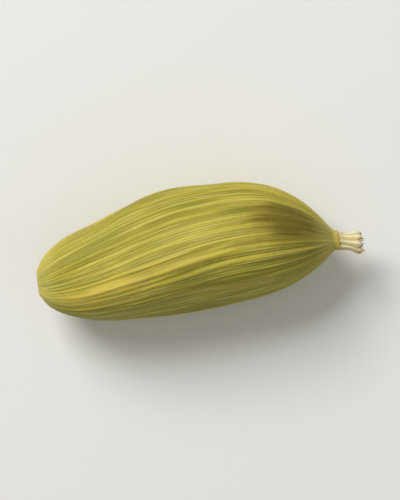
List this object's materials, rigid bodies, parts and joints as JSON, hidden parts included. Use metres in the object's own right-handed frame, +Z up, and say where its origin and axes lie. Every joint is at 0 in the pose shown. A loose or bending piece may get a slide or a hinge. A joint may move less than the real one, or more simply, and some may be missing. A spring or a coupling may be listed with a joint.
{
  "type": "green cardamom pod",
  "caption": "Dried green cardamom pod: a ribbed, rounded three-sided husk lying on one side, blunt at the stalk end and narrowing to a small pale dry tip.",
  "frame": {"origin": "on the surface the pod lies on, under the middle of its box", "axes": "+X along the pod from the blunt stalk end to the dry tip, +Z up, -Z out of the flat spot it rests on"},
  "size_m": [0.0148, 0.0056, 0.0054],
  "materials": {
    "husk": "dry papery husk, satin, fine lengthwise ribs, yellow-green with olive and straw patches",
    "tip": "dry and fibrous, matte, pale cream"
  },
  "bodies": {
    "root": {"pod_husk": "husk", "dry_tip": "tip"}
  },
  "joints": []
}
